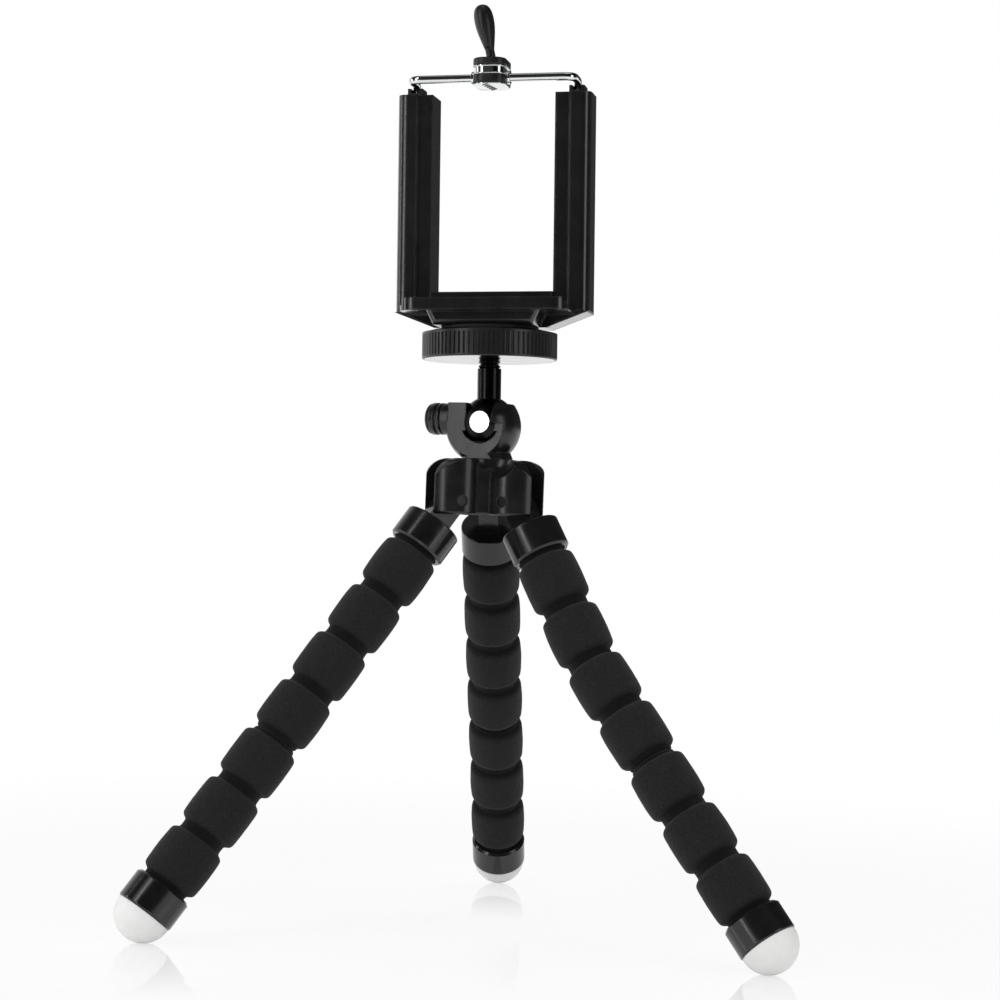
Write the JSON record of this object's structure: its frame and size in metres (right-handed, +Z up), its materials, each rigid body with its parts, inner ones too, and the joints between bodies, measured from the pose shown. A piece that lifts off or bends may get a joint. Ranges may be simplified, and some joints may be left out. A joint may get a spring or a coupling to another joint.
{
  "type": "phone tripod",
  "caption": "Small tripod with bendable foam legs, white feet, a ball head and a spring phone holder on a knurled disc.",
  "frame": {"origin": "on the floor, under the middle of the outline as it stands", "axes": "+Z up; the single leg points to +Y and the phone holder faces -Y, turned a few degrees about Z"},
  "size_m": [0.1836, 0.1616, 0.2653],
  "materials": {
    "leg_plastic": "semi-gloss black plastic",
    "foam": "matte black foam with a fine grain",
    "wire_steel": "plain bendable wire",
    "foot_rubber": "smooth white rubber",
    "hub_plastic": "glossy black plastic",
    "pin_steel": "plain steel",
    "seat_plastic": "dull black plastic",
    "ball_metal": "black coated metal",
    "polished_steel": "polished metal",
    "stem_metal": "black coated metal",
    "disc_plastic": "dull black plastic with fine ridges",
    "pad_rubber": "dull black rubber",
    "holder_plastic": "satin black plastic",
    "plug_plastic": "dull black plastic",
    "insert_brass": "plain brass",
    "spring_steel": "plain spring steel",
    "chrome_wire": "chromed wire",
    "chrome_plate": "chromed metal",
    "catch_rubber": "satin black rubber"
  },
  "bodies": {
    "base": {"hub": "hub_plastic", "hinge_pins": "pin_steel", "head_screw": "pin_steel", "ball_cup": "hub_plastic", "lock_nut": "pin_steel"},
    "leg_left_top": {"leg_left_cap": "leg_plastic", "leg_left_foam_upper": "foam", "leg_left_wire": "wire_steel"},
    "leg_left_middle": {"leg_left_foam_middle": "foam"},
    "leg_left_low": {"leg_left_foam_lower": "foam", "leg_left_foot_cap": "leg_plastic", "leg_left_foot": "foot_rubber"},
    "leg_right_top": {"leg_right_cap": "leg_plastic", "leg_right_foam_upper": "foam", "leg_right_wire": "wire_steel"},
    "leg_right_middle": {"leg_right_foam_middle": "foam"},
    "leg_right_low": {"leg_right_foam_lower": "foam", "leg_right_foot_cap": "leg_plastic", "leg_right_foot": "foot_rubber"},
    "leg_rear_top": {"leg_rear_cap": "leg_plastic", "leg_rear_foam_upper": "foam", "leg_rear_wire": "wire_steel"},
    "leg_rear_middle": {"leg_rear_foam_middle": "foam"},
    "leg_rear_low": {"leg_rear_foam_lower": "foam", "leg_rear_foot_cap": "leg_plastic", "leg_rear_foot": "foot_rubber"},
    "head_seat": {"ball_seat": "seat_plastic"},
    "head_ball": {"ball": "ball_metal", "cross_pin": "polished_steel", "ball_stem": "stem_metal"},
    "lock": {"lock_knob": "hub_plastic", "lock_screw": "pin_steel"},
    "disc": {"platform_disc": "disc_plastic", "disc_pad": "pad_rubber"},
    "holder": {"holder_base": "holder_plastic", "rail_left": "holder_plastic", "rail_right": "holder_plastic", "rail_plug_left": "plug_plastic", "rail_plug_right": "plug_plastic", "holder_insert": "insert_brass", "jaw_pad": "pad_rubber", "spring_left": "spring_steel", "spring_right": "spring_steel"},
    "hoop": {"hoop": "chrome_wire", "wire_collars": "pin_steel"},
    "catch": {"catch_plate": "chrome_plate", "catch_pad_upper": "catch_rubber", "catch_pad_lower": "catch_rubber", "catch_lever": "chrome_plate", "lever_grip": "catch_rubber"}
  },
  "joints": [
    {"name": "leg_left_fold", "type": "hinge", "parent": "base", "child": "leg_left_top", "pos_m": [-0.00927, -0.02973, 0.1226], "axis": [-0.5, 0.866, 0], "range_deg": [-35.6, 33.4]},
    {"name": "leg_left_bend_upper", "type": "hinge", "parent": "leg_left_top", "child": "leg_left_middle", "pos_m": [-0.03556, -0.0449, 0.08174], "axis": [0.5, -0.866, 0], "range_deg": [-20, 20], "deforming": ["leg_left_wire"]},
    {"name": "leg_left_bend_lower", "type": "hinge", "parent": "leg_left_middle", "child": "leg_left_low", "pos_m": [-0.06143, -0.05984, 0.04153], "axis": [0.5, -0.866, 0], "range_deg": [-19, 21], "deforming": ["leg_left_wire"]},
    {"name": "leg_right_fold", "type": "hinge", "parent": "base", "child": "leg_right_top", "pos_m": [0.00978, -0.02973, 0.1226], "axis": [-0.5, -0.866, 0], "range_deg": [-30.3, 38.7]},
    {"name": "leg_right_bend_upper", "type": "hinge", "parent": "leg_right_top", "child": "leg_right_middle", "pos_m": [0.03266, -0.04293, 0.07909], "axis": [0.5, 0.866, 0], "range_deg": [-12, 28], "deforming": ["leg_right_wire"]},
    {"name": "leg_right_bend_lower", "type": "hinge", "parent": "leg_right_middle", "child": "leg_right_low", "pos_m": [0.06012, -0.05879, 0.0403], "axis": [0.5, 0.866, 0], "range_deg": [-19, 21], "deforming": ["leg_right_wire"]},
    {"name": "leg_rear_fold", "type": "hinge", "parent": "base", "child": "leg_rear_top", "pos_m": [0.00026, -0.01323, 0.1226], "axis": [1, 0, 0], "range_deg": [-37.1, 31.9]},
    {"name": "leg_rear_bend_upper", "type": "hinge", "parent": "leg_rear_top", "child": "leg_rear_middle", "pos_m": [0.00026, 0.0182, 0.08256], "axis": [-1, 0, 0], "range_deg": [-21, 19], "deforming": ["leg_rear_wire"]},
    {"name": "leg_rear_bend_lower", "type": "hinge", "parent": "leg_rear_middle", "child": "leg_rear_low", "pos_m": [0.00026, 0.04844, 0.04262], "axis": [-1, 0, 0], "range_deg": [-22, 18], "deforming": ["leg_rear_wire"]},
    {"name": "head_side_tilt", "type": "hinge", "parent": "base", "child": "head_seat", "pos_m": [0.00026, -0.02423, 0.1453], "axis": [-0.3338, -0.9426, 0], "range_deg": [-14, 14]},
    {"name": "head_tilt", "type": "hinge", "parent": "head_seat", "child": "head_ball", "pos_m": [0.00026, -0.02423, 0.1453], "axis": [0.9426, -0.3338, 0], "range_deg": [-12, 90]},
    {"name": "lock_turn", "type": "hinge", "parent": "base", "child": "lock", "pos_m": [0.00026, -0.02423, 0.1462], "axis": [-0.9426, 0.3338, 0], "range_deg": [0, 270]},
    {"name": "disc_turn", "type": "hinge", "parent": "head_ball", "child": "disc", "pos_m": [0.00026, -0.02423, 0.1453], "axis": [-0.0244, 0, 0.9997], "continuous": true},
    {"name": "holder_turn", "type": "hinge", "parent": "head_ball", "child": "holder", "pos_m": [0.00026, -0.02423, 0.1453], "axis": [-0.0244, 0, 0.9997], "continuous": true},
    {"name": "hoop_slide", "type": "slide", "parent": "holder", "child": "hoop", "axis": [-0.0244, 0, 0.9997], "range_m": [0, 0.028], "stiffness_N_per_m": 120, "springref_m": -0.012, "deforming": ["spring_left", "spring_right"]},
    {"name": "catch_turn", "type": "hinge", "parent": "hoop", "child": "catch", "pos_m": [-0.00244, -0.02661, 0.24401], "axis": [0.9929, -0.1167, 0.0243], "range_deg": [-90, 90]}
  ]
}
